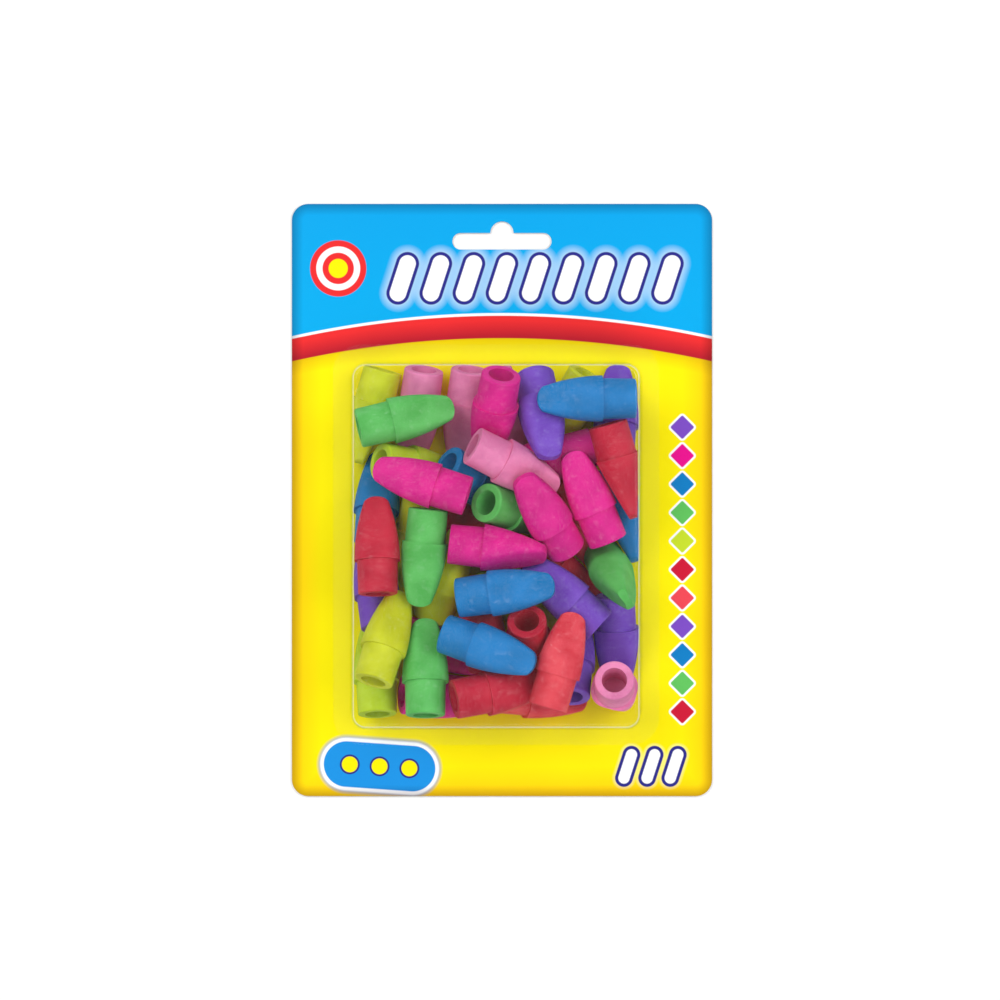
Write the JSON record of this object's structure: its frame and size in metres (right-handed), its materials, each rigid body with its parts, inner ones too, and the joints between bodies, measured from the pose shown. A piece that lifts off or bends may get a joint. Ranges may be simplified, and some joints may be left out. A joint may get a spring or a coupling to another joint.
{
  "type": "carded blister pack of pencil cap erasers",
  "caption": "Hang card with a euro slot and a clear sealed blister holding a heap of loose wedge-shaped rubber pencil cap erasers in mixed bright colours.",
  "frame": {"origin": "middle of the back face of the card", "axes": "+X across the card to the right, +Y up the card to the hang hole, +Z out of the printed front"},
  "size_m": [0.127, 0.179, 0.0351],
  "materials": {
    "card": "coated printed paperboard",
    "blister": "clear thermoformed plastic sheet, glossy",
    "cap_green": "matte moulded rubber with a dusty bloom",
    "cap_blue": "matte moulded rubber with a dusty bloom",
    "cap_magenta": "matte moulded rubber with a dusty bloom",
    "cap_pink": "matte moulded rubber with a dusty bloom",
    "cap_red": "matte moulded rubber with a dusty bloom",
    "cap_orange": "matte moulded rubber with a dusty bloom",
    "cap_purple": "matte moulded rubber with a dusty bloom",
    "cap_yellow": "matte moulded rubber with a dusty bloom",
    "cap_yellow_green": "matte moulded rubber with a dusty bloom"
  },
  "bodies": {
    "pack": {"card": "card", "cap_purple_1": "cap_purple", "cap_blue_1": "cap_blue", "cap_yellow_green_1": "cap_yellow_green", "cap_yellow_1": "cap_yellow", "cap_pink_1": "cap_pink", "cap_pink_2": "cap_pink", "cap_pink_3": "cap_pink", "cap_purple_2": "cap_purple", "cap_yellow_2": "cap_yellow", "cap_pink_4": "cap_pink", "cap_yellow_green_2": "cap_yellow_green", "cap_yellow_3": "cap_yellow", "cap_red_1": "cap_red", "cap_orange_1": "cap_orange", "cap_yellow_4": "cap_yellow", "cap_magenta_1": "cap_magenta", "cap_magenta_2": "cap_magenta", "cap_red_2": "cap_red", "cap_blue_2": "cap_blue", "cap_yellow_green_3": "cap_yellow_green", "cap_purple_3": "cap_purple", "cap_purple_4": "cap_purple", "cap_orange_2": "cap_orange", "cap_green_2": "cap_green", "cap_magenta_3": "cap_magenta", "cap_purple_5": "cap_purple", "cap_red_4": "cap_red", "cap_yellow_5": "cap_yellow", "cap_red_5": "cap_red", "cap_magenta_4": "cap_magenta", "cap_pink_5": "cap_pink", "cap_purple_6": "cap_purple", "cap_magenta_5": "cap_magenta", "cap_blue_3": "cap_blue", "cap_magenta_6": "cap_magenta", "cap_magenta_8": "cap_magenta", "cap_red_6": "cap_red", "cap_red_7": "cap_red", "cap_green_5": "cap_green"},
    "blister": {"blister": "blister"},
    "loose_cap_green_1": {"cap_green_1": "cap_green"},
    "loose_cap_red_3": {"cap_red_3": "cap_red"},
    "loose_cap_green_3": {"cap_green_3": "cap_green"},
    "loose_cap_magenta_7": {"cap_magenta_7": "cap_magenta"},
    "loose_cap_blue_4": {"cap_blue_4": "cap_blue"},
    "loose_cap_green_4": {"cap_green_4": "cap_green"},
    "loose_cap_blue_5": {"cap_blue_5": "cap_blue"},
    "loose_cap_orange_3": {"cap_orange_3": "cap_orange"},
    "loose_cap_blue_6": {"cap_blue_6": "cap_blue"}
  },
  "joints": [
    {"name": "blister_peel", "type": "hinge", "parent": "pack", "child": "blister", "pos_m": [-0.00175, 0.047, 0.00105], "axis": [-1, 0, 0], "range_deg": [0, 97]},
    {"name": "lift_green_1", "type": "slide", "parent": "pack", "child": "loose_cap_green_1", "axis": [0, 0, 1], "range_m": [0, 0.0015]},
    {"name": "lift_red_3", "type": "slide", "parent": "pack", "child": "loose_cap_red_3", "axis": [0, 0, 1], "range_m": [0, 0.0015]},
    {"name": "lift_green_3", "type": "slide", "parent": "pack", "child": "loose_cap_green_3", "axis": [0, 0, 1], "range_m": [0, 0.008]},
    {"name": "lift_magenta_7", "type": "slide", "parent": "pack", "child": "loose_cap_magenta_7", "axis": [0, 0, 1], "range_m": [0, 0.0015]},
    {"name": "lift_blue_4", "type": "slide", "parent": "pack", "child": "loose_cap_blue_4", "axis": [0, 0, 1], "range_m": [0, 0.002]},
    {"name": "lift_green_4", "type": "slide", "parent": "pack", "child": "loose_cap_green_4", "axis": [0, 0, 1], "range_m": [0, 0.002]},
    {"name": "lift_blue_5", "type": "slide", "parent": "pack", "child": "loose_cap_blue_5", "axis": [0, 0, 1], "range_m": [0, 0.0015]},
    {"name": "lift_orange_3", "type": "slide", "parent": "pack", "child": "loose_cap_orange_3", "axis": [0, 0, 1], "range_m": [0, 0.0015]},
    {"name": "lift_blue_6", "type": "slide", "parent": "pack", "child": "loose_cap_blue_6", "axis": [0, 0, 1], "range_m": [0, 0.0015]}
  ]
}
